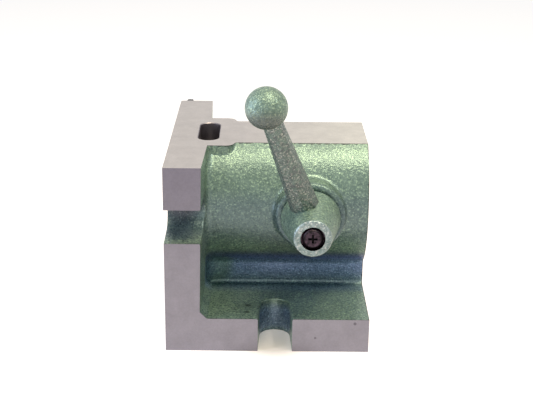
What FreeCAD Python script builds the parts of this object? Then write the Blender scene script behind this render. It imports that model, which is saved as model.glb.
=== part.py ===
import FreeCAD, Part
import math
import os

from FreeCAD import Vector

# A collet fixture for horizontal and vertical use. Millimetres, +Z up, +X towards the collet nose and
# -Y towards the lever. The origin is the middle of the base's underside, straight below the barrel axis.

# Main casting
length = 108.0
depth = 138.0
height = 102.0
base_thick = 18.7
axis_height = 68.0
barrel_r = 40.4
neck_half = 20.0

# Foot flange: its inner face is drafted towards the edges and towards the base
flange_edge = 17.9
flange_swell = 2.1
flange_rise = 1.6

# Cast corners: the one between flange and base is a straight slope, the others are round
corner_slope = 3.8
neck_foot_r = 2.0
neck_flange_r = 9.0
barrel_root_r = 4.0
boss_root_r = 3.0
boss_rim_r = 2.5
pad_root_r = 2.0
notch_rim_r = 0.8
back_edge_r = 1.8

# Pad on top of the barrel beside the flange: it stands out past the flat on the barrel, or past the slot
pad_step = 6.4
slot_wall = 3.0
pad_reach = 35.0
pad_corner_r = 4.5

# Bolt notches: two in the base, two in the flange, drafted wider towards the edge
notch_r = 8.3
notch_deep = 26.6
notch_draft_degrees = 2.7
base_notch_x = 4.1
flange_notch_z = 70.1

# Access slot over the adjusting nut
slot_wide = 11.5
slot_long = 36.0
slot_x = -33.3
slot_edge = 0.4

# Stub of the casting's feeder, left on the flange's back edge
stub_x = -48.6
stub_down = 0.7
stub_root = 5.2
stub_tip = 3.0
stub_long = 6.6

# Stepped bore: retaining ring, adjusting nut, closing sleeve
ring_bore_r = 28.0
ring_bore_deep = 13.0
nut_bore_r = 26.0
nut_bore_deep = 30.0
main_bore_r = 24.0
mouth_chamfer = 1.0

# Fits, all radial or per side
slide_gap = 0.03
spin_gap = 0.08
seat_gap = 0.02
end_gap = 0.1
face_gap = 0.2

# Collet that the fixture takes
collet_r = 15.875
collet_thread_r = 15.72
collet_head_r = 18.8
taper_degrees = 10.0
keyway_deep = 1.6

# Closing sleeve
sleeve_front_gap = 3.0
sleeve_back_gap = 2.6
sleeve_rear_r = 16.6
sleeve_rear_deep = 11.5
groove_floor = 18.6

# Collet key, a dog screw in the sleeve
key_screw_r = 2.5
key_dog_r = 1.5
key_screw_back = 7.5

# Adjusting nut and what holds it
washer_thick = 2.0
washer_in_r = 20.4
nut_hub_r = 20.0
nut_hub_long = 18.0
nut_holes = 8
nut_hole_r = 3.0
nut_hole_deep = 6.0
ring_thick = 9.0
ring_in_r = 17.5
ring_holes = 4
ring_hole_r = 2.5
ring_hole_deep = 4.0
ring_screw_r = 2.5
ring_screw_long = 7.0
ring_screw_degrees = 50.0

# Lever shaft and its boss
shaft_x = 22.5
boss_r = 19.0
boss_stand = 6.6
shaft_r = 8.0
bush_r = 10.0
bush_inner_end = 25.5
shaft_inner_end = 24.4
hub_gap = 1.6
nose_r = 5.0
dog_inset = 7.0
dog_groove_wide = 4.2
dog_groove_deep = 1.5
dog_screw_r = 2.5
dog_r = 1.8
dog_screw_sunk = 1.0

# Crank pin and sliding block
crank_throw = 2.0
crank_degrees = -22.5
slide_rate = 1.8
pin_r = 3.0
collar_r = 4.2
block_side = 10.0
block_thick = 3.8

# Lever: hub, arm and ball are one casting
hub_big_r = 16.2
hub_small_r = 9.7
hub_long = 30.0
hub_rim_r = 1.2
arm_out = 5.2
arm_tilt_degrees = 18.74
arm_lean_degrees = 26.85
arm_inset = 8.0
arm_reach = 84.8
arm_root_r = 7.95
arm_tip_r = 4.55
arm_edge_r = 0.7
ball_r = 10.35
counterbore_r = 6.4
counterbore_deep = 3.8

# Key, washer and screw in the lever hub
key_wide = 3.0
key_long = 14.0
key_rise = 1.3
lever_washer_thick = 1.2
lever_washer_r = 6.2
screw_r = 3.0
screw_long = 14.0
screw_head_r = 5.6
screw_head_bevel = 1.1
cross_long = 4.8
cross_wide = 1.2
cross_deep = 1.4

# Worked out from the values above
left = -length / 2
right = length / 2
front = -depth / 2
crown = min(height - axis_height, barrel_r)
barrel_flat_half = math.sqrt(barrel_r ** 2 - crown ** 2)
pad_half = max(barrel_flat_half, slot_long / 2 + slot_wall) + pad_step
ring_seat = left + ring_bore_deep
nut_seat = left + nut_bore_deep
nut_stop = nut_seat - washer_thick - end_gap
nut_tip = nut_stop + nut_hub_long
boss_face = barrel_r + boss_stand
dog_y = boss_face - dog_inset
hub_back = -boss_face - hub_gap
arm_start = hub_back - arm_out
hub_front = hub_back - hub_long
counterbore_floor = hub_front + counterbore_deep
crank_phase = math.radians(crank_degrees)
crank_x = shaft_x + crank_throw * math.sin(crank_phase)
crank_z = axis_height + crank_throw * math.cos(crank_phase)
groove_x = shaft_x + slide_rate * crank_phase
sleeve_back = nut_tip + sleeve_back_gap
sleeve_front = right - sleeve_front_gap
key_screw_x = sleeve_back + key_screw_back
ring_screw_end = ring_seat - ring_thick + ring_screw_long
block_inner = -groove_floor - face_gap
block_outer = block_inner - block_thick
screw_tip = counterbore_floor - lever_washer_thick + screw_long
key_start = hub_back - key_long - nose_r / 2

X = Vector(1, 0, 0)
Y = Vector(0, 1, 0)
Z = Vector(0, 0, 1)


# Round bar along X between two places, about the barrel axis
def barrel_bar(radius, start, end):
    return Part.makeCylinder(radius, end - start, Vector(start, 0, axis_height), X)


# Round bar along Y between two places, at a height and side of its own
def cross_bar(radius, start, end, x=shaft_x, z=axis_height):
    return Part.makeCylinder(radius, end - start, Vector(x, start, z), Y)


def box(x0, x1, y0, y1, z0, z1):
    return Part.makeBox(x1 - x0, y1 - y0, z1 - z0, Vector(x0, y0, z0))


def panel(points):
    return Part.Face(Part.makePolygon(points + points[:1]))


# Turned shape about the barrel axis, from a profile of (x, radius) points
def turned(points):
    outline = panel([Vector(x, 0, axis_height + r) for x, r in points])
    return outline.revolve(Vector(0, 0, axis_height), X, 360)


# Solid with flat sides between a lower and an upper outline of as many points
def flat_sided(lower, upper):
    faces = [panel(lower[::-1]), panel(upper)]
    for i in range(len(lower)):
        faces.append(panel([lower[i - 1], lower[i], upper[i], upper[i - 1]]))
    solid = Part.makeSolid(Part.makeShell(faces))
    if solid.Volume < 0:
        return flat_sided(lower[::-1], upper[::-1])
    return solid


# Edges of a shape whose middle lies in a box and that pass a test
def edges_in(shape, x_range, y_range, z_range, test=None):
    found = []
    for edge in shape.Edges:
        c = edge.CenterOfMass
        inside = x_range[0] <= c.x <= x_range[1] and y_range[0] <= c.y <= y_range[1]
        inside = inside and z_range[0] <= c.z <= z_range[1]
        if inside and (test is None or test(edge)):
            found.append(edge)
    return found


def along(edge, axis):
    if edge.Curve.TypeId != "Part::GeomLine":
        return False
    return abs(edge.tangentAt(edge.FirstParameter).dot(axis)) > 0.98


# Inner face of the flange: thickness at a distance from the middle and at a height
def flange_thick(y, z):
    return flange_edge + flange_swell * (1 - abs(y) / (depth / 2)) + flange_rise * z / height


def flange():
    outlines = []
    for z in (0, height):
        inner = [Vector(left + flange_thick(y, z), y, z) for y in (front, 0, -front)]
        outlines.append([Vector(left, front, z)] + inner + [Vector(left, -front, z)])
    return flat_sided(outlines[0], outlines[1])


# Slope in the corner between the flange's inner face and the base, on one side of the middle
def corner_wedge(side):
    outlines = []
    for y in (0, side * depth / 2):
        foot = left + flange_thick(y, base_thick)
        inside = left + flange_edge / 2
        corners = ((inside, base_thick / 2), (foot + corner_slope, base_thick / 2),
                   (foot + corner_slope, base_thick), (foot, base_thick + corner_slope),
                   (inside, base_thick + corner_slope))
        outlines.append([Vector(x, y, z) for x, z in corners])
    return flat_sided(outlines[0], outlines[1])


# U-shaped notch from the edge of a plate, cut along one axis: drafted sides that touch a round end
def notch(centre, axis, side, start, end):
    draft = math.radians(notch_draft_degrees)
    round_end = depth / 2 - notch_deep + notch_r
    reach = notch_deep - notch_r + 1

    def place(across, out):
        y = side * (round_end + out)
        if axis == Z:
            return Vector(centre + across, y, start)
        return Vector(start, y, centre + across)

    touch = notch_r * math.cos(draft)
    inward = -notch_r * math.sin(draft)
    mouth = (notch_r + reach * math.sin(draft)) / math.cos(draft)
    outline = [place(touch, inward), place(mouth, reach), place(-mouth, reach), place(-touch, inward)]
    opening = panel(outline).extrude(axis * (end - start))
    return opening.fuse(Part.makeCylinder(notch_r, end - start, place(0, 0), axis)).removeSplitter()


def access_slot():
    r = slot_wide / 2
    reach = slot_long / 2 - r
    low = axis_height + main_bore_r / 2
    cutter = box(slot_x - r, slot_x + r, -reach, reach, low, height + 1)
    for side in (-1, 1):
        end_bar = Part.makeCylinder(r, height + 1 - low, Vector(slot_x, side * reach, low), Z)
        cutter = cutter.fuse(end_bar)
    return cutter.removeSplitter()


# Pad with its round outer corners, taller than the barrel before both are faced off
def top_pad():
    corner = left + pad_reach - pad_corner_r
    inner = pad_half - pad_corner_r
    tall = barrel_r + 2 * pad_root_r
    pad = box(left, corner, -pad_half, pad_half, axis_height, axis_height + tall)
    pad = pad.fuse(box(left, corner + pad_corner_r, -inner, inner, axis_height, axis_height + tall))
    for side in (-1, 1):
        pad = pad.fuse(Part.makeCylinder(pad_corner_r, tall, Vector(corner, side * inner, axis_height), Z))
    return pad.removeSplitter()


def square(side, y):
    top = height - stub_down
    corners = ((-side / 2, top - side), (side / 2, top - side), (side / 2, top), (-side / 2, top))
    return [Vector(stub_x + x, y, z) for x, z in corners]


def feeder_stub():
    return flat_sided(square(stub_root, -front - 1), square(stub_tip, -front + stub_long))


# Base, neck and flange with their cast corners, before the barrel goes on
def base_casting():
    plate = box(left, right, front, -front, 0, base_thick)
    neck = box(left, right, -neck_half, neck_half, base_thick / 2, axis_height)
    outside = flange().fuse(plate).removeSplitter()
    at_back = (-front - 1, -front + 1)
    back = edges_in(outside, (left - 1, left + 1), at_back, (1, height - 1))
    back += edges_in(outside, (right - 1, right + 1), at_back, (1, base_thick - 1))
    casting = outside.makeFillet(back_edge_r, back).fuse(neck).removeSplitter()
    inner = (left + flange_edge - 1, left + flange_edge + flange_swell + flange_rise + 1)
    beside_neck = (-neck_half - 1, neck_half + 1)
    upright = edges_in(casting, inner, beside_neck, (base_thick + 1, axis_height - 1), lambda e: along(e, Z))
    casting = casting.makeFillet(neck_flange_r, upright)
    on_base = (base_thick - 0.5, base_thick + 0.5)
    foot = edges_in(casting, (inner[0], right - 1), (front + 1, -front - 1), on_base)
    casting = casting.makeFillet(neck_foot_r, foot)
    return casting.fuse([corner_wedge(-1), corner_wedge(1)]).removeSplitter()


# Places along an edge, to tell which surfaces it lies on
def places(edge):
    span = edge.LastParameter - edge.FirstParameter
    return [edge.valueAt(edge.FirstParameter + span * k / 4) for k in range(5)]


def on_barrel(point):
    return abs(math.hypot(point.y, point.z - axis_height) - barrel_r) < 0.05


def on_boss(point):
    return abs(math.hypot(point.x - shaft_x, point.z - axis_height) - boss_r) < 0.05


def on_flange(point):
    return abs(point.x - left - flange_thick(point.y, point.z)) < 0.05


def add_barrel(casting):
    barrel = barrel_bar(barrel_r, left, right)
    barrel = barrel.common(box(left, right, front, -front, 0, height))
    casting = casting.fuse(barrel).removeSplitter()
    root = [e for e in casting.Edges if all(on_barrel(p) and on_flange(p) for p in places(e))]
    return casting.makeFillet(barrel_root_r, root)


def add_boss(casting):
    boss = cross_bar(boss_r, -boss_face, -barrel_r / 2)
    casting = casting.fuse(boss).removeSplitter()
    rim = [e for e in casting.Edges if all(abs(p.y + boss_face) < 0.01 for p in places(e))]
    casting = casting.makeFillet(boss_rim_r, rim)
    root = [e for e in casting.Edges if all(on_barrel(p) and on_boss(p) for p in places(e))]
    return casting.makeFillet(boss_root_r, root)


def add_pad(casting):
    padded = barrel_bar(barrel_r, left, right).fuse(top_pad()).removeSplitter()
    root = []
    for edge in padded.Edges:
        beside = all(abs(abs(p.y) - pad_half) < 0.01 and on_barrel(p) for p in places(edge))
        if beside and along(edge, X):
            root.append(edge)
    padded = padded.makeFillet(pad_root_r, root).common(box(left, right, front, -front, 0, height))
    return casting.fuse(padded).removeSplitter()


# Bolt notches, with their rims rounded where the faces are left as cast
def add_notches(casting):
    past_flange = left + flange_edge + flange_swell + flange_rise + 1
    for side in (-1, 1):
        casting = casting.cut(notch(base_notch_x, Z, side, -1, base_thick + 1))
        casting = casting.cut(notch(flange_notch_z, X, side, left - 1, past_flange))
    r = notch_r + notch_deep * math.tan(math.radians(notch_draft_degrees))
    base_rims = []
    flange_rims = []
    for edge in casting.Edges:
        spots = places(edge)
        outboard = all(abs(p.y) > depth / 2 - notch_deep - 0.1 for p in spots)
        if outboard and all(abs(p.z - base_thick) < 0.01 and abs(p.x - base_notch_x) < r for p in spots):
            base_rims.append(edge)
        if outboard and all(on_flange(p) and abs(p.z - flange_notch_z) < r for p in spots):
            flange_rims.append(edge)
    return casting.makeFillet(notch_rim_r, base_rims + flange_rims)


# Half of the locking screw's hole lies in the flange and half in the retaining ring
def ring_screw_hole(start, end):
    turn = math.radians(ring_screw_degrees)
    y = ring_bore_r * math.cos(turn)
    z = axis_height + ring_bore_r * math.sin(turn)
    return Part.makeCylinder(ring_screw_r + seat_gap, end - start, Vector(start, y, z), X)


def bores():
    profile = [(left - 1, 0), (left - 1, ring_bore_r + mouth_chamfer + 1)]
    profile += [(left + mouth_chamfer, ring_bore_r), (ring_seat, ring_bore_r), (ring_seat, nut_bore_r)]
    profile += [(nut_seat, nut_bore_r), (nut_seat, main_bore_r), (right - mouth_chamfer, main_bore_r)]
    profile += [(right + 1, main_bore_r + mouth_chamfer + 1), (right + 1, 0)]
    cutter = turned(profile)
    cutter = cutter.fuse(cross_bar(bush_r + seat_gap, -boss_face - 1, -main_bore_r / 2))
    screw_low = axis_height - boss_r - 1
    screw_hole = Part.makeCylinder(dog_screw_r + seat_gap, boss_r - bush_r + 2,
                                   Vector(shaft_x, -dog_y, screw_low), Z)
    return cutter.fuse([screw_hole, ring_screw_hole(left - 1, ring_screw_end + seat_gap)])


# One iron casting, machined on its faces, bored and slotted
def body():
    casting = add_notches(add_pad(add_boss(add_barrel(base_casting()))))
    casting = casting.fuse(feeder_stub()).removeSplitter().cut(bores()).cut(access_slot())
    slot_rim = edges_in(casting, (slot_x - slot_wide / 2 - 0.1, slot_x + slot_wide / 2 + 0.1),
                        (-slot_long / 2 - 0.1, slot_long / 2 + 0.1), (height - 0.01, height + 0.01))
    return casting.makeChamfer(slot_edge, slot_rim)


# Sleeve that slides forward over the collet head and closes it by the taper in its mouth
def closing_sleeve():
    outer = main_bore_r - slide_gap
    inner = collet_r + slide_gap
    taper_long = (collet_head_r - inner) / math.tan(math.radians(taper_degrees))
    rear_step = sleeve_back + sleeve_rear_deep
    profile = [(sleeve_back, sleeve_rear_r), (sleeve_back, outer - mouth_chamfer)]
    profile += [(sleeve_back + mouth_chamfer, outer), (sleeve_front - mouth_chamfer, outer)]
    profile += [(sleeve_front, outer - mouth_chamfer), (sleeve_front, collet_head_r)]
    profile += [(sleeve_front - taper_long, inner), (rear_step, inner), (rear_step, sleeve_rear_r)]
    sleeve = turned(profile)
    half = block_side / 2 + end_gap
    groove = box(groove_x - half, groove_x + half, -barrel_r, -groove_floor,
                 axis_height - main_bore_r, axis_height + main_bore_r)
    key_hole = Part.makeCylinder(key_screw_r + seat_gap, main_bore_r,
                                 Vector(key_screw_x, 0, axis_height + inner / 2), Z)
    return sleeve.cut(groove).cut(key_hole)


# Dog screw whose tip runs in the collet's keyway
def collet_key():
    tip = axis_height + collet_r - keyway_deep + end_gap
    shoulder = axis_height + collet_r + face_gap
    top = axis_height + main_bore_r - 2 * mouth_chamfer
    screw = Part.makeCylinder(key_screw_r, top - shoulder, Vector(key_screw_x, 0, shoulder), Z)
    screw = screw.fuse(Part.makeCylinder(key_dog_r, shoulder - tip, Vector(key_screw_x, 0, tip), Z))
    return screw.cut(hex_recess(key_screw_r, Vector(key_screw_x, 0, top), Z))


# Hexagon recess in the end of a grub screw, sunk from a point against a direction
def hex_recess(radius, place, direction):
    reach = radius * 0.6
    corners = [Vector(reach * math.cos(k * math.pi / 3), reach * math.sin(k * math.pi / 3), 0)
               for k in range(6)]
    recess = panel(corners).extrude(Vector(0, 0, -radius))
    recess.Placement = FreeCAD.Placement(place, FreeCAD.Rotation(Z, direction))
    return recess


# Nut that draws the collet back, with pin holes round its rim
def adjusting_nut():
    rim = nut_bore_r - spin_gap
    start = ring_seat + end_gap
    profile = [(start, collet_thread_r), (start, rim - mouth_chamfer), (start + mouth_chamfer, rim)]
    profile += [(nut_stop - mouth_chamfer, rim), (nut_stop, rim - mouth_chamfer), (nut_stop, nut_hub_r)]
    profile += [(nut_tip, nut_hub_r), (nut_tip, collet_thread_r)]
    nut = turned(profile)
    axis_point = Vector(0, 0, axis_height)
    for k in range(nut_holes):
        low = axis_height + rim - nut_hole_deep
        hole = Part.makeCylinder(nut_hole_r, nut_hole_deep + 1, Vector(slot_x, 0, low), Z)
        hole.rotate(axis_point, X, 360 * k / nut_holes)
        nut = nut.cut(hole)
    return nut


def thrust_washer():
    start = nut_seat - washer_thick
    outer = barrel_bar(nut_bore_r - spin_gap, start, nut_seat)
    return outer.cut(barrel_bar(washer_in_r, start - 1, nut_seat + 1))


# Threaded ring that keeps the nut in, with holes for a pin spanner
def retaining_ring():
    start = ring_seat - ring_thick
    ring = barrel_bar(ring_bore_r - seat_gap, start, ring_seat)
    ring = ring.cut(barrel_bar(ring_in_r, start - 1, ring_seat + 1))
    middle = (ring_bore_r + ring_in_r) / 2
    for k in range(ring_holes):
        turn = 2 * math.pi * k / ring_holes
        place = Vector(start - 1, middle * math.cos(turn), axis_height + middle * math.sin(turn))
        ring = ring.cut(Part.makeCylinder(ring_hole_r, ring_hole_deep + 1, place, X))
    return ring.cut(ring_screw_hole(start - 1, ring_screw_end + seat_gap))


def ring_screw():
    turn = math.radians(ring_screw_degrees)
    start = ring_screw_end - ring_screw_long
    place = Vector(start, ring_bore_r * math.cos(turn), axis_height + ring_bore_r * math.sin(turn))
    screw = Part.makeCylinder(ring_screw_r, ring_screw_long, place, X)
    return screw.cut(hex_recess(ring_screw_r, place, -X))


# Cross shaft: journal with a ring groove, keyed nose for the lever, crank pin at the inner end
def cam_shaft():
    shaft = cross_bar(shaft_r - slide_gap, hub_back, -shaft_inner_end)
    groove = cross_bar(shaft_r + 1, -dog_y - dog_groove_wide / 2, -dog_y + dog_groove_wide / 2)
    groove = groove.cut(cross_bar(shaft_r - dog_groove_deep, -shaft_inner_end - boss_face, 0))
    shaft = shaft.cut(groove)
    shaft = shaft.fuse(cross_bar(nose_r, counterbore_floor + face_gap, hub_back))
    shaft = shaft.fuse(cross_bar(collar_r, -shaft_inner_end, block_outer - end_gap, crank_x, crank_z))
    shaft = shaft.fuse(cross_bar(pin_r, -shaft_inner_end, block_inner, crank_x, crank_z))
    shaft = shaft.cut(key_seat())
    screw_hole = cross_bar(screw_r + seat_gap, hub_front, screw_tip + 1)
    return shaft.cut(screw_hole).removeSplitter()


# Block on the crank pin: it stays upright and runs up and down in the sleeve's groove
def cam_block():
    half = block_side / 2
    block = box(crank_x - half, crank_x + half, block_outer, block_inner, crank_z - half, crank_z + half)
    block = block.makeChamfer(0.4, [e for e in block.Edges if along(e, Y)])
    return block.cut(cross_bar(pin_r + slide_gap, block_outer - 1, block_inner + 1, crank_x, crank_z))


def shaft_bush():
    bush = cross_bar(bush_r, -boss_face, -bush_inner_end)
    bush = bush.cut(cross_bar(shaft_r, -boss_face - 1, 0))
    dog_hole = Part.makeCylinder(dog_r + seat_gap, axis_height, Vector(shaft_x, -dog_y, 0), Z)
    return bush.cut(dog_hole)


# Dog-point screw from under the boss, its tip in the shaft's ring groove
def shaft_screw():
    low = axis_height - boss_r + dog_screw_sunk
    shoulder = axis_height - bush_r - face_gap
    tip = axis_height - shaft_r + dog_groove_deep - face_gap
    screw = Part.makeCylinder(dog_screw_r, shoulder - low, Vector(shaft_x, -dog_y, low), Z)
    screw = screw.fuse(Part.makeCylinder(dog_r, tip - shoulder, Vector(shaft_x, -dog_y, shoulder), Z))
    return screw.cut(hex_recess(dog_screw_r, Vector(shaft_x, -dog_y, low), -Z))


# Corners of the eight-sided section square to the arm, with one corner to the front
def arm_corners(place, direction, radius):
    side = direction.cross(Y).normalize()
    outward = side.cross(direction).normalize()
    corners = []
    for k in range(8):
        turn = k * math.pi / 4
        corners.append(place + side * (radius * math.sin(turn)) + outward * (radius * math.cos(turn)))
    return corners


# Hub, eight-sided arm and ball, cast in one
def lever():
    hub = Part.makeCone(hub_small_r, hub_big_r, hub_long, Vector(shaft_x, hub_front, axis_height), Y)
    front_rim = [e for e in hub.Edges if abs(e.CenterOfMass.y - hub_front) < 0.01]
    hub = hub.makeFillet(hub_rim_r, front_rim)
    back_rim = [e for e in hub.Edges if abs(e.CenterOfMass.y - hub_back) < 0.01]
    hub = hub.makeChamfer(hub_rim_r, back_rim)
    tilt = math.radians(arm_tilt_degrees)
    lean = math.radians(arm_lean_degrees)
    direction = Vector(-math.sin(tilt) * math.cos(lean), -math.sin(lean), math.cos(tilt) * math.cos(lean))
    root = Vector(shaft_x, arm_start, axis_height)
    low = root + direction * arm_inset
    tip = root + direction * arm_reach
    arm = flat_sided(arm_corners(low, direction, arm_root_r), arm_corners(tip, direction, arm_tip_r))
    long_edges = [e for e in arm.Edges if e.Length > arm_reach / 2]
    arm = arm.makeFillet(arm_edge_r, long_edges)
    ball = Part.makeSphere(ball_r, tip, direction)
    casting = hub.fuse([arm, ball]).removeSplitter()
    bore = cross_bar(nose_r + seat_gap, hub_front - 1, hub_back + 1)
    bore = bore.fuse(cross_bar(counterbore_r, hub_front - 1, counterbore_floor))
    keyway = box(shaft_x - key_wide / 2, shaft_x + key_wide / 2, counterbore_floor, hub_back + 1,
                 axis_height, axis_height + nose_r + key_rise + end_gap)
    return casting.cut(bore.fuse(keyway))


def key_seat():
    return box(shaft_x - key_wide / 2, shaft_x + key_wide / 2, key_start, key_start + key_long,
               axis_height + nose_r - key_rise, axis_height + 2 * nose_r)


def lever_key():
    bar = box(shaft_x - key_wide / 2, shaft_x + key_wide / 2, key_start, key_start + key_long,
              axis_height + nose_r - key_rise, axis_height + nose_r + key_rise)
    return bar


def lever_washer():
    outer = cross_bar(lever_washer_r, counterbore_floor - lever_washer_thick, counterbore_floor)
    return outer.cut(cross_bar(screw_r + end_gap, hub_front, counterbore_floor + 1))


# Screw with a low bevelled head and a cross recess
def lever_screw():
    under_head = counterbore_floor - lever_washer_thick
    head_thick = counterbore_deep - lever_washer_thick
    head = cross_bar(screw_head_r, under_head - head_thick, under_head)
    rim = [e for e in head.Edges if all(abs(p.y - under_head + head_thick) < 0.01 for p in places(e))]
    head = head.makeChamfer(screw_head_bevel, rim)
    screw = head.fuse(cross_bar(screw_r, under_head, screw_tip))
    for wide, tall in ((cross_long, cross_wide), (cross_wide, cross_long)):
        screw = screw.cut(box(shaft_x - wide / 2, shaft_x + wide / 2, hub_front - 1, hub_front + cross_deep,
                              axis_height - tall / 2, axis_height + tall / 2))
    return screw


PIECES = (body, closing_sleeve, collet_key, adjusting_nut, thrust_washer, retaining_ring, ring_screw,
          cam_shaft, cam_block, shaft_bush, shaft_screw, lever, lever_key, lever_washer, lever_screw)

os.makedirs("parts", exist_ok=True)
for piece in PIECES:
    shape = piece()
    if not shape.isValid() or len(shape.Solids) != 1:
        print("check", piece.__name__, shape.isValid(), len(shape.Solids))
    shape.exportStep("parts/" + piece.__name__ + ".step")
    print(piece.__name__, round(shape.Volume, 1), "mm3")
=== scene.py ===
import math

import bpy
import numpy as np
from mathutils import Matrix, Vector


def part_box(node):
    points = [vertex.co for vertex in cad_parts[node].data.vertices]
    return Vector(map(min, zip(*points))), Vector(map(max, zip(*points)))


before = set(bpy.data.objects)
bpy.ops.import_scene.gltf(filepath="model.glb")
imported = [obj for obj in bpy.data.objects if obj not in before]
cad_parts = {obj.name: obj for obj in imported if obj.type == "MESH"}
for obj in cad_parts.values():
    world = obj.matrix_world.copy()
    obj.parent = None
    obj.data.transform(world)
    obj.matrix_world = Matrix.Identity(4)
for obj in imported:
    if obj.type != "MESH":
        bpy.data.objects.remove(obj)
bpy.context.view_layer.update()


# Body: one iron casting, sprayed with hammered enamel and then faced on its top, front, ends and underside.
# The enamel ends in a thin ragged line wherever the cutter took it away. The back is left as it was cast.
# Each sRGB hex colour is turned into linear values by the next function.
def linear(hex_colour):
    channels = [int(hex_colour[k:k + 2], 16) / 255 for k in (1, 3, 5)]
    return tuple(c / 12.92 if c <= 0.04045 else ((c + 0.055) / 1.055) ** 2.4 for c in channels) + (1.0,)


# Adds a node, sets its own settings or the sockets of that name or number, and links sockets to what feeds them
def add(tree, kind, settings=None, links=None):
    node = tree.nodes.new("ShaderNode" + kind)
    for name, value in (settings or {}).items():
        if isinstance(name, str) and hasattr(node, name):
            setattr(node, name, value)
        else:
            node.inputs[name].default_value = value
    for name, source in (links or {}).items():
        tree.links.new(source, node.inputs[name])
    return node


# Empty material, with its node tree and the place on the part that its patterns are laid out by
def new_material(name):
    material = bpy.data.materials.new(name)
    material.use_nodes = True
    tree = material.node_tree
    tree.nodes.clear()
    place = add(tree, "TexCoord").outputs["Object"]
    return material, tree, place


# Noise scale for a grain of so many millimetres, as places are in metres
def per_metre(millimetres):
    return 1000.0 / millimetres


# Mixes two colours by a share from 0 to 1. Each colour is a value or the socket that gives it.
def two_colours(tree, first, second, share):
    mixed = add(tree, "Mix", {"data_type": "RGBA", "clamp_factor": True}, {0: share})
    for socket, colour in ((6, first), (7, second)):
        if isinstance(colour, tuple):
            mixed.inputs[socket].default_value = colour
        else:
            tree.links.new(colour, mixed.inputs[socket])
    return mixed.outputs[2]


# Mask that is 1 inside a small ball round a place and fades out over its last part
def spot(tree, place, middle_mm, radius_mm):
    middle = tuple(c / 1000 for c in middle_mm)
    away = add(tree, "VectorMath", {"operation": "DISTANCE", 1: middle}, {0: place})
    return add(tree, "MapRange", {"interpolation_type": "SMOOTHSTEP", "From Min": radius_mm / 2000,
                                  "From Max": radius_mm / 1000, "To Min": 1.0, "To Max": 0.0},
               {"Value": away.outputs["Value"]}).outputs[0]


# Mask that is 1 near a line along the casting on its lever side, and fades out further away
def beside_line(tree, place, across_mm, height_mm, inner_mm, outer_mm):
    flat = add(tree, "VectorMath", {"operation": "MULTIPLY", 1: (0.0, 1.0, 1.0)}, {0: place})
    line = (0.0, -across_mm / 1000, height_mm / 1000)
    away = add(tree, "VectorMath", {"operation": "DISTANCE", 1: line}, {0: flat.outputs[0]})
    return add(tree, "MapRange", {"interpolation_type": "SMOOTHSTEP", "From Min": inner_mm / 1000,
                                  "From Max": outer_mm / 1000, "To Min": 1.0, "To Max": 0.0},
               {"Value": away.outputs["Value"]}).outputs[0]


# Mask that is as strong as the strongest of several masks
def strongest(tree, masks):
    total = masks[0]
    for mask in masks[1:]:
        total = add(tree, "Math", {"operation": "MAXIMUM"}, {0: total, 1: mask}).outputs[0]
    return total


body_low, body_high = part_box("body")
casting_top = body_high.z
casting_end = body_high.x
machined_side = 0.069


# Distance to the nearest plane that the cutter faced, in metres
def to_machined_edge(tree, place):
    axes = add(tree, "SeparateXYZ", None, {0: place})
    above = add(tree, "Math", {"operation": "SUBTRACT", 0: casting_top}, {1: axes.outputs["Z"]}).outputs[0]
    beside = add(tree, "Math", {"operation": "ADD", 0: machined_side}, {1: axes.outputs["Y"]}).outputs[0]
    ahead = add(tree, "Math", {"operation": "SUBTRACT", 0: casting_end}, {1: axes.outputs["X"]}).outputs[0]
    nearest = above
    for other in (beside, ahead):
        nearest = add(tree, "Math", {"operation": "MINIMUM"}, {0: nearest, 1: other}).outputs[0]
    return nearest


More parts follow.
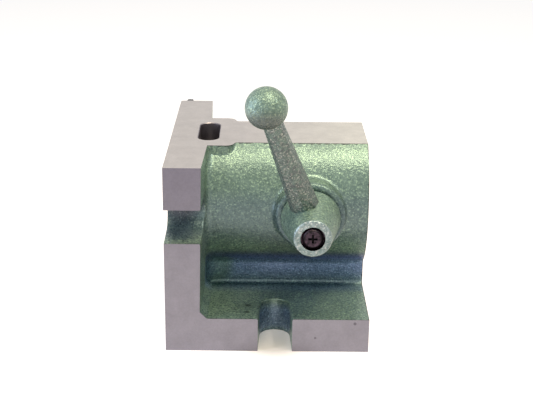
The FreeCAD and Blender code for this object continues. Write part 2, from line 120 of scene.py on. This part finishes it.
# Hammered enamel: a sprayed paint with aluminium flake that dries into shallow dimples of about a millimetre.
# The flake makes it shine like dull metal in the paint's own green, and the dimples break that shine up.
def hammered_enamel(name, mid, deep, pale, flake, dimples, edge_line=0.0, pits=(), painted_light_zones=()):
    material, tree, place = new_material(name)
    dimple = add(tree, "TexNoise", {"Scale": per_metre(1.9), "Detail": 3.0, "Roughness": 0.6}, {"Vector": place})
    grain = add(tree, "TexNoise", {"Scale": per_metre(0.95), "Detail": 2.0, "Roughness": 0.5}, {"Vector": place})
    cloud = add(tree, "TexNoise", {"Scale": per_metre(16.0), "Detail": 3.0, "Roughness": 0.55}, {"Vector": place})
    share = add(tree, "MapRange", {"From Min": 0.32, "From Max": 0.68, "To Min": 0.0, "To Max": 0.8},
                {"Value": dimple.outputs["Fac"]}).outputs[0]
    colour = two_colours(tree, linear(mid), linear(deep), share)
    fleck = add(tree, "MapRange", {"From Min": 0.52, "From Max": 0.72, "To Min": 0.0, "To Max": 0.75},
                {"Value": grain.outputs["Fac"]}).outputs[0]
    colour = two_colours(tree, colour, linear(pale), fleck)
    drift = add(tree, "MapRange", {"From Min": 0.35, "From Max": 0.65, "To Min": 0.0, "To Max": 0.3},
                {"Value": cloud.outputs["Fac"]}).outputs[0]
    colour = two_colours(tree, colour, linear(deep), drift)
    # Painted light: each zone tints the colour inside its mask, painting shade, highlight or reflection onto the
    # paint by place
    for mask, where, tint in painted_light_zones:
        painted_light_colour = add(tree, "VectorMath", {"operation": "MULTIPLY", 1: tint}, {0: colour}).outputs[0]
        colour = two_colours(tree, colour, painted_light_colour, mask(tree, place, *where))
    if edge_line:
        ragged = add(tree, "TexNoise", {"Scale": per_metre(2.2), "Detail": 3.0}, {"Vector": place})
        width = add(tree, "MapRange", {"From Min": 0.35, "From Max": 0.65,
                                      "To Min": 0.0001, "To Max": edge_line / 1000},
                    {"Value": ragged.outputs["Fac"]}).outputs[0]
        near = add(tree, "Math", {"operation": "DIVIDE"}, {0: to_machined_edge(tree, place), 1: width}).outputs[0]
        line = add(tree, "MapRange", {"From Min": 0.6, "From Max": 1.1, "To Min": 0.85, "To Max": 0.0},
                   {"Value": near}).outputs[0]
        colour = two_colours(tree, colour, linear("#20262a"), line)
    if pits:
        in_pit = strongest(tree, [spot(tree, place, *pit) for pit in pits])
        colour = two_colours(tree, colour, linear("#46554c"), in_pit)
    height = add(tree, "Math", {"operation": "MULTIPLY_ADD", 1: 0.4}, {0: grain.outputs["Fac"],
                                                                        2: dimple.outputs["Fac"]}).outputs[0]
    bump = add(tree, "Bump", {"Strength": dimples, "Distance": 0.0004}, {"Height": height})
    gloss = add(tree, "MapRange", {"From Min": 0.3, "From Max": 0.7, "To Min": 0.24, "To Max": 0.38},
                {"Value": grain.outputs["Fac"]}).outputs[0]
    surface = add(tree, "BsdfPrincipled", {"Metallic": flake, "IOR": 1.5},
                  {"Base Color": colour, "Roughness": gloss, "Normal": bump.outputs["Normal"]})
    add(tree, "OutputMaterial", None, {"Surface": surface.outputs[0]})
    return material


# Ground iron: grey cast iron faced on a surface grinder. Its fine parallel scratches give a flat, soft shine.
def ground_iron(name, shade, lay, far_shade_and_painted_highlight, axis, start, end, pits=()):
    material, tree, place = new_material(name)
    stretched = add(tree, "Mapping", {"Scale": lay}, {"Vector": place})
    scratch = add(tree, "TexNoise", {"Scale": per_metre(0.5), "Detail": 3.0}, {"Vector": stretched.outputs[0]})
    cloud = add(tree, "TexNoise", {"Scale": per_metre(9.0), "Detail": 4.0, "Roughness": 0.6}, {"Vector": place})
    speck = add(tree, "TexNoise", {"Scale": per_metre(0.9), "Detail": 2.0}, {"Vector": place})
    level = add(tree, "MapRange", {"From Min": 0.3, "From Max": 0.7, "To Min": 0.92, "To Max": 1.06},
                {"Value": cloud.outputs["Fac"]}).outputs[0]
    streak = add(tree, "MapRange", {"From Min": 0.3, "From Max": 0.7, "To Min": 0.95, "To Max": 1.05},
                 {"Value": scratch.outputs["Fac"]}).outputs[0]
    level = add(tree, "Math", {"operation": "MULTIPLY"}, {0: level, 1: streak}).outputs[0]
    grit = add(tree, "MapRange", {"From Min": 0.3, "From Max": 0.7, "To Min": 0.96, "To Max": 1.04},
               {"Value": speck.outputs["Fac"]}).outputs[0]
    level = add(tree, "Math", {"operation": "MULTIPLY"}, {0: level, 1: grit}).outputs[0]
    # The colour blends along one axis from shade to far_shade_and_painted_highlight
    along = add(tree, "SeparateXYZ", None, {0: place}).outputs[axis]
    share = add(tree, "MapRange", {"From Min": start, "From Max": end}, {"Value": along}).outputs[0]
    tint = add(tree, "VectorMath", {"operation": "SCALE"},
               {0: two_colours(tree, linear(shade), linear(far_shade_and_painted_highlight), share), "Scale": level})
    colour = tint.outputs[0]
    if pits:
        in_pit = strongest(tree, [spot(tree, place, *pit) for pit in pits])
        colour = two_colours(tree, colour, linear("#65626a"), in_pit)
    gloss = add(tree, "MapRange", {"From Min": 0.3, "From Max": 0.7, "To Min": 0.42, "To Max": 0.56},
                {"Value": scratch.outputs["Fac"]}).outputs[0]
    bump = add(tree, "Bump", {"Strength": 0.25, "Distance": 0.00002}, {"Height": scratch.outputs["Fac"]})
    surface = add(tree, "BsdfPrincipled", {"Metallic": 1.0},
                  {"Base Color": colour, "Roughness": gloss, "Normal": bump.outputs["Normal"]})
    add(tree, "OutputMaterial", None, {"Surface": surface.outputs[0]})
    return material


# Turned steel or iron: fine rings left by the tool, which run round the axis of the part
def turned_metal(name, shade, roughness, ring_mm, axis="X", middle=(0.0, 0.0, 0.0)):
    material, tree, place = new_material(name)
    moved = add(tree, "VectorMath", {"operation": "SUBTRACT", 1: middle}, {0: place})
    along = add(tree, "SeparateXYZ", None, {0: moved.outputs[0]})
    flat = {"X": (0.0, 1.0, 1.0), "Y": (1.0, 0.0, 1.0), "Z": (1.0, 1.0, 0.0)}[axis]
    across = add(tree, "VectorMath", {"operation": "MULTIPLY", 1: flat}, {0: moved.outputs[0]})
    out = add(tree, "VectorMath", {"operation": "LENGTH"}, {0: across.outputs[0]})
    run = add(tree, "Math", {"operation": "ADD"}, {0: along.outputs[axis], 1: out.outputs["Value"]}).outputs[0]
    ring = add(tree, "TexNoise", {"noise_dimensions": "1D", "Scale": per_metre(ring_mm), "Detail": 2.0}, {"W": run})
    cloud = add(tree, "TexNoise", {"Scale": per_metre(6.0), "Detail": 3.0}, {"Vector": place})
    level = add(tree, "MapRange", {"From Min": 0.3, "From Max": 0.7, "To Min": 0.85, "To Max": 1.1},
                {"Value": ring.outputs["Fac"]}).outputs[0]
    drift = add(tree, "MapRange", {"From Min": 0.3, "From Max": 0.7, "To Min": 0.9, "To Max": 1.08},
                {"Value": cloud.outputs["Fac"]}).outputs[0]
    level = add(tree, "Math", {"operation": "MULTIPLY"}, {0: level, 1: drift}).outputs[0]
    colour = add(tree, "VectorMath", {"operation": "SCALE", 0: linear(shade)[:3]}, {"Scale": level}).outputs[0]
    bump = add(tree, "Bump", {"Strength": 0.3, "Distance": 0.00003}, {"Height": ring.outputs["Fac"]})
    surface = add(tree, "BsdfPrincipled", {"Metallic": 1.0, "Roughness": roughness},
                  {"Base Color": colour, "Normal": bump.outputs["Normal"]})
    add(tree, "OutputMaterial", None, {"Surface": surface.outputs[0]})
    return material


barrel_axis = (0.0, 0.0, 0.068)
# Pits in the paint and in the faced front: the middle and the radius of each, in millimetres
paint_pits = (((-10.5, -51.5, 18.7), 2.2), ((-11.0, -60.0, 18.7), 1.8), ((15.2, -64.6, 18.7), 0.9),
              ((41.05, -45.0, 63.7), 0.9))
face_pits = (((46.4, -69.0, 16.5), 1.1), ((25.5, -69.0, 8.0), 0.8), ((-3.0, -69.0, 8.0), 0.6))
# Painted light and shade on the lever side: a painted blue reflection on the neck, less blue at its left end, painted
# blue shade in the base's notch, painted shade low on the barrel, above the neck, on the boss's face and at the top
# of the flange's notch, and a painted highlight low in that notch
casting_painted_light_zones = ((beside_line, (26.0, 29.0, 3.0, 14.0), (1.0, 1.02, 2.3)),
                 (beside_line, (45.0, 8.0, 4.0, 10.5), (1.08, 1.06, 1.8)),
                 (beside_line, (44.0, 62.0, 10.0, 23.0), (0.76, 0.76, 0.92)),
                 (beside_line, (27.0, 39.0, 1.0, 8.0), (0.6, 0.56, 0.85)),
                 (spot, ((-31.0, -21.0, 30.0), 15.0), (0.85, 0.93, 0.6)),
                 (spot, ((-46.5, -47.0, 76.0), 16.0), (0.55, 0.42, 0.5)),
                 (spot, ((-45.0, -60.0, 60.0), 15.0), (1.35, 1.22, 1.2)),
                 (spot, ((22.5, -52.0, 68.0), 24.0), (0.4, 0.46, 0.56)))
enamel = hammered_enamel("casting_enamel", "#88a195", "#576f6b", "#cdedcb", 0.35, 0.55, 0.75,
                         paint_pits, casting_painted_light_zones)
# Painted highlight: the top is coloured paler and warmer towards the nose end, as if lit more there
top_iron = ground_iron("ground_iron_top", "#b9b3b0", (0.12, 1.0, 1.0), "#cfcac1", "X", -0.015, 0.045)
# The faced front is darker towards the top
side_iron = ground_iron("ground_iron_side", "#88858e", (0.12, 1.0, 1.0), "#797580", "Z", 0.045, 0.095, face_pits)
bored_iron = turned_metal("bored_iron", "#8a8488", 0.42, 0.5, "X", barrel_axis)
broken_iron = hammered_enamel("broken_iron", "#1c1c1a", "#101012", "#2c2a28", 0.5, 1.0)


# Gives a piece its materials, in the order that its facets number them
def coat(node, *materials):
    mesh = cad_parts[node].data
    mesh.materials.clear()
    for material in materials:
        mesh.materials.append(material)
    return mesh


# X, Y and Z of every facet's three corners
def facet_corners(mesh):
    points = np.zeros(len(mesh.vertices) * 3)
    mesh.vertices.foreach_get("co", points)
    corners = np.array([tuple(polygon.vertices)[:3] for polygon in mesh.polygons])
    return (points.reshape(-1, 3)[corners][:, :, k] for k in range(3))


body = coat("body", enamel, top_iron, side_iron, bored_iron, broken_iron)
slot_middle = -0.0333
slot_half = 0.0062
slot_reach = 0.0185
slot_foot = 0.083
bore_reach = 0.0291
bored_side = 0.034
bush_middle = 0.0225
bush_reach = 0.0101
bush_side = -0.02
closeness = 0.00002


# Which material a facet of the casting has: faced planes, bores and the slot are bare iron, the rest is enamelled
def facet_materials(mesh):
    x, y, z = facet_corners(mesh)
    chosen = np.zeros(len(x), int)

    def flat_on(values, level):
        return (abs(values - level) < closeness).all(axis=1)

    chosen[flat_on(z, casting_top)] = 1
    chosen[flat_on(z, 0.0) | flat_on(y, -machined_side)] = 2
    chosen[flat_on(x, body_low.x) | flat_on(x, casting_end)] = 2
    from_axis = np.hypot(y, z - barrel_axis[2])
    in_bore = (from_axis < bore_reach).all(axis=1) & ~flat_on(x, body_low.x) & ~flat_on(x, casting_end)
    inner = in_bore & (z < casting_top - closeness).any(axis=1)
    chosen[inner & ~((chosen == 1) | (abs(y) > bored_side).any(axis=1))] = 3
    in_slot = (abs(x - slot_middle) < slot_half).all(axis=1) & (abs(y) < slot_reach).all(axis=1)
    in_slot &= (z > slot_foot).all(axis=1) & ~flat_on(z, casting_top)
    chosen[in_slot] = 3
    from_shaft = np.hypot(x - bush_middle, z - barrel_axis[2])
    chosen[(from_shaft < bush_reach).all(axis=1) & (y < bush_side).all(axis=1)] = 3
    chosen[(y > machined_side - closeness).all(axis=1) & (y > machined_side + closeness).any(axis=1)] = 4
    return chosen


body.polygons.foreach_set("material_index", facet_materials(body).astype(np.int32))
body.update()

# Collet mechanism inside the barrel: turned and hardened steel, oiled, and only seen through the bores and the slot.
# The sleeve slides in the bore, the nut turns under the slot, and a ring and a washer hold the nut.
hardened = turned_metal("hardened_steel", "#8d8c8f", 0.3, 0.35, "X", barrel_axis)
dark_turned = turned_metal("oiled_dark_steel", "#3d3b3f", 0.38, 0.4, "X", barrel_axis)
for node, material in (("closing_sleeve", hardened), ("thrust_washer", hardened),
                       ("adjusting_nut", dark_turned), ("retaining_ring", dark_turned)):
    coat(node, material)


# Small screws in the casting and the sleeve: blackened grub screws with a hexagon socket. They hold the cross
# shaft, lock the retaining ring and key the collet.

# Black oxide: steel blackened in a hot salt bath, nearly black with a low oily shine. On a screw head,
# the colour is darker in a thin ring of the radius seam_mm where the bevel starts.
def black_oxide(name, shade, roughness, seam_mm=0.0):
    material, tree, place = new_material(name)
    cloud = add(tree, "TexNoise", {"Scale": per_metre(1.6), "Detail": 3.0}, {"Vector": place})
    share = add(tree, "MapRange", {"From Min": 0.35, "From Max": 0.65}, {"Value": cloud.outputs["Fac"]}).outputs[0]
    colour = two_colours(tree, linear(shade), linear("#120e14"), share)
    if seam_mm:
        flat = add(tree, "VectorMath", {"operation": "MULTIPLY", 1: (1.0, 0.0, 1.0)}, {0: place})
        out = add(tree, "VectorMath", {"operation": "DISTANCE", 1: shaft_line}, {0: flat.outputs[0]})
        off = add(tree, "Math", {"operation": "SUBTRACT", 1: seam_mm / 1000}, {0: out.outputs["Value"]})
        off = add(tree, "Math", {"operation": "ABSOLUTE"}, {0: off.outputs[0]})
        dark_ring = add(tree, "MapRange", {"From Min": 0.00015, "From Max": 0.0004, "To Min": 0.9, "To Max": 0.0},
                   {"Value": off.outputs[0]}).outputs[0]
        colour = two_colours(tree, colour, linear("#060407"), dark_ring)
    gloss = add(tree, "MapRange", {"From Min": 0.3, "From Max": 0.7, "To Min": roughness, "To Max": roughness + 0.14},
                {"Value": cloud.outputs["Fac"]}).outputs[0]
    bump = add(tree, "Bump", {"Strength": 0.15, "Distance": 0.00005}, {"Height": cloud.outputs["Fac"]})
    surface = add(tree, "BsdfPrincipled", {"Metallic": 0.7},
                  {"Base Color": colour, "Roughness": gloss, "Normal": bump.outputs["Normal"]})
    add(tree, "OutputMaterial", None, {"Surface": surface.outputs[0]})
    return material


screw_black = black_oxide("black_oxide_screw", "#2c2530", 0.36)
for node in ("collet_key", "ring_screw", "shaft_screw"):
    coat(node, screw_black)

# Cross shaft with its sliding block and key: hardened steel, turned and then ground, so it shines most of all.
# It turns in a bronze bush that is pressed into the boss.
shaft_line = (bush_middle, 0.0, barrel_axis[2])
ground_shaft = turned_metal("ground_shaft_steel", "#8f8d90", 0.26, 0.3, "Y", shaft_line)
bush_bronze = turned_metal("bush_bronze", "#9a7440", 0.36, 0.3, "Y", shaft_line)
for node, material in (("cam_shaft", ground_shaft), ("cam_block", ground_shaft), ("lever_key", ground_shaft),
                       ("shaft_bush", bush_bronze)):
    coat(node, material)

# Lever: hub, eight-sided arm and ball are one casting, sprayed with the same hammered enamel as the body.
# The arm is handled most, so its enamel is greyer and flatter, and its colour is also darker as painted shade.
# The counterbore for the screw is bare, and coloured nearly black as painted shade.
# The ball's enamel is painted darker underneath, a painted shade
ball_painted_shade_zones = ((spot, ((-1.8, -97.0, 129.0), 15.0), (0.62, 0.52, 0.6)),)
lever_enamel = hammered_enamel("lever_enamel", "#91aca0", "#4f6a60", "#dcf6d6", 0.3, 1.1, painted_light_zones=ball_painted_shade_zones)
arm_worn_and_painted_shade_enamel = hammered_enamel("arm_worn_and_painted_shade_enamel", "#788f86", "#3f3f4c", "#f0f4ea", 0.45, 1.0)
rim_enamel = hammered_enamel("rim_enamel", "#b2c5c8", "#48625f", "#fcffff", 0.45, 1.0)
# Painted shade: the bare counterbore wall is coloured nearly black
counterbore_painted_shade = turned_metal("bare_bore_painted_shade", "#1c1a1d", 0.4, 0.3, "Y", shaft_line)
lever = coat("lever", lever_enamel, arm_worn_and_painted_shade_enamel, counterbore_painted_shade, rim_enamel)
ball_middle = (-0.0018, -0.0921, 0.1397)
ball_reach = 0.01042
hub_back = -0.0486
hub_long = 0.030
hub_back_r = 0.0162
hub_front_r = 0.0097
hub_front = hub_back - hub_long
rim_deep = 0.0013
rim_reach = 0.0108
counterbore_reach = 0.00645


# Which material a facet of the lever has: hub and ball, arm, counterbore, or the rim round the counterbore
def lever_materials(mesh):
    x, y, z = facet_corners(mesh)
    from_shaft = np.hypot(x - bush_middle, z - barrel_axis[2])
    hub_r = hub_back_r - (hub_back - y) / hub_long * (hub_back_r - hub_front_r)
    on_hub = (from_shaft < hub_r + 0.00004).all(axis=1)
    from_ball = np.sqrt((x - ball_middle[0]) ** 2 + (y - ball_middle[1]) ** 2 + (z - ball_middle[2]) ** 2)
    on_ball = (from_ball < ball_reach).all(axis=1)
    chosen = np.where(on_hub | on_ball, 0, 1)
    on_rim = (y < hub_front + rim_deep).all(axis=1) & (from_shaft < rim_reach).all(axis=1)
    chosen[on_rim] = 3
    chosen[(from_shaft < counterbore_reach).all(axis=1)] = 2
    return chosen


lever.polygons.foreach_set("material_index", lever_materials(lever).astype(np.int32))
lever.update()

# Screw and washer that hold the lever on its shaft: a cross-recess screw of steel with black oxide, down in the
# hub's counterbore. The recess is duller than the head, and coloured nearly black as painted shade.
head_black = black_oxide("black_oxide_head", "#4c3c4a", 0.24, 4.5)
recess_painted_shade = black_oxide("black_oxide_recess_painted_shade", "#0c090c", 0.6)
coat("lever_washer", head_black)
screw = coat("lever_screw", head_black, recess_painted_shade)
head_front = min(vertex.co.y for vertex in screw.vertices)
recess_reach = 0.0027
for polygon in screw.polygons:
    x, y, z = polygon.center
    in_recess = math.hypot(x - bush_middle, z - barrel_axis[2]) < recess_reach
    polygon.material_index = 1 if in_recess and y > head_front + closeness else 0


# Floor: a plain pale sheet that runs out of the picture on all sides, lit so that it comes out white.
# It glows less right under the base's notch, where the sheet shows in shade.
# A mask that is 1 for what the camera sees straight, in a mirror or through glass
def seen_straight(tree):
    ray = add(tree, "LightPath")
    seen = add(tree, "Math", {"operation": "MAXIMUM"},
               {0: ray.outputs["Is Camera Ray"], 1: ray.outputs["Is Glossy Ray"]}).outputs[0]
    return add(tree, "Math", {"operation": "MAXIMUM"}, {0: seen, 1: ray.outputs["Is Transmission Ray"]}).outputs[0]


floor_mesh = bpy.data.meshes.new("floor")
floor_half = 6.0
floor_mesh.from_pydata([(-floor_half, -floor_half, 0), (floor_half, -floor_half, 0), (floor_half, floor_half, 0),
                        (-floor_half, floor_half, 0)], [], [(0, 1, 2, 3)])
floor = bpy.data.objects.new("floor", floor_mesh)
bpy.context.scene.collection.objects.link(floor)
paper, tree, place = new_material("pale_floor")
seen = seen_straight(tree)
sheet = add(tree, "BsdfDiffuse", {"Color": linear("#e6dcd6")})
notch_end = (0.0041, -0.05, 0.0)
away = add(tree, "VectorMath", {"operation": "DISTANCE", 1: notch_end}, {0: place})
level = add(tree, "MapRange", {"From Min": 0.018, "From Max": 0.034, "To Min": 0.23, "To Max": 0.85},
            {"Value": away.outputs["Value"]})
glow = add(tree, "Emission", {"Color": (1.0, 1.0, 1.0, 1.0)}, {"Strength": level.outputs[0]})
bright = add(tree, "AddShader", None, {0: sheet.outputs[0], 1: glow.outputs[0]})
both = add(tree, "MixShader", None, {0: seen, 1: sheet.outputs[0], 2: bright.outputs[0]})
add(tree, "OutputMaterial", None, {"Surface": both.outputs[0]})
floor.data.materials.append(paper)

# Light: a white studio tent, broad warm panels above the barrel, a pale panel low on the left and two small lamps
world = bpy.data.worlds.new("studio")
bpy.context.scene.world = world
world.use_nodes = True
tree = world.node_tree
tree.nodes.clear()
seen = seen_straight(tree)
tent = add(tree, "Background", {"Color": linear("#c8dcff"), "Strength": 0.06})
white = add(tree, "Background", {"Color": (1.0, 1.0, 1.0, 1.0), "Strength": 1.0})
both = add(tree, "MixShader", None, {0: seen, 1: tent.outputs[0], 2: white.outputs[0]})
add(tree, "OutputWorld", None, {"Surface": both.outputs[0]})

lit_point = Vector((0.0, 0.0, 0.06))


# A square panel of light at an azimuth (0 towards the viewer, + towards the nose) and a height angle
def light_panel(name, azimuth, rise, away, size, watts, tint):
    turn = math.radians(azimuth)
    up = math.radians(rise)
    direction = Vector((math.sin(turn) * math.cos(up), -math.cos(turn) * math.cos(up), math.sin(up)))
    lamp = bpy.data.lights.new(name, "AREA")
    lamp.shape = "RECTANGLE"
    lamp.size, lamp.size_y = size
    lamp.energy = watts
    lamp.color = linear(tint)[:3]
    panel = bpy.data.objects.new(name, lamp)
    panel.location = lit_point + direction * away
    panel.rotation_euler = direction.to_track_quat("Z", "Y").to_euler()
    bpy.context.scene.collection.objects.link(panel)


light_panel("top_panel", 60, 84, 0.8, (0.7, 0.5), 1.46, "#fff0cb")
light_panel("crown_panel", 8, 69, 0.9, (0.7, 0.12), 2.0, "#fff0cb")
light_panel("crown_right", 50, 70, 0.9, (0.4, 0.2), 2.3, "#fff0cb")
light_panel("left_low", -75, 12, 0.8, (0.6, 0.5), 4.0, "#dee6fa")
light_panel("left_panel", -60, 44, 0.8, (0.06, 0.06), 0.6, "#f4f6ff")
light_panel("right_panel", 58, 55, 0.8, (0.08, 0.06), 0.9, "#fffaf0")

# Camera: the photograph's viewing angle, a short telephoto view from the front and a little above.
# It looks a little to one side and leans by less than a degree. All three angles are in radians.
camera_place = Vector((-0.003704, -0.605844, 0.273296))
look_down = 0.33654
look_aside = 0.0047
lean = 0.0115
camera = bpy.data.cameras.new("camera")
camera.sensor_width = 36.0
camera.lens = 75.52
camera.clip_start = 0.01
viewer = bpy.data.objects.new("camera", camera)
turn_aside = Matrix.Rotation(-look_aside, 4, "Z")
tip_down = Matrix.Rotation(math.pi / 2 - look_down, 4, "X")
lean_over = Matrix.Rotation(lean, 4, "Z")
viewer.matrix_world = Matrix.Translation(camera_place) @ turn_aside @ tip_down @ lean_over
bpy.context.scene.collection.objects.link(viewer)
bpy.context.scene.camera = viewer
bpy.context.scene.view_settings.view_transform = "Standard"
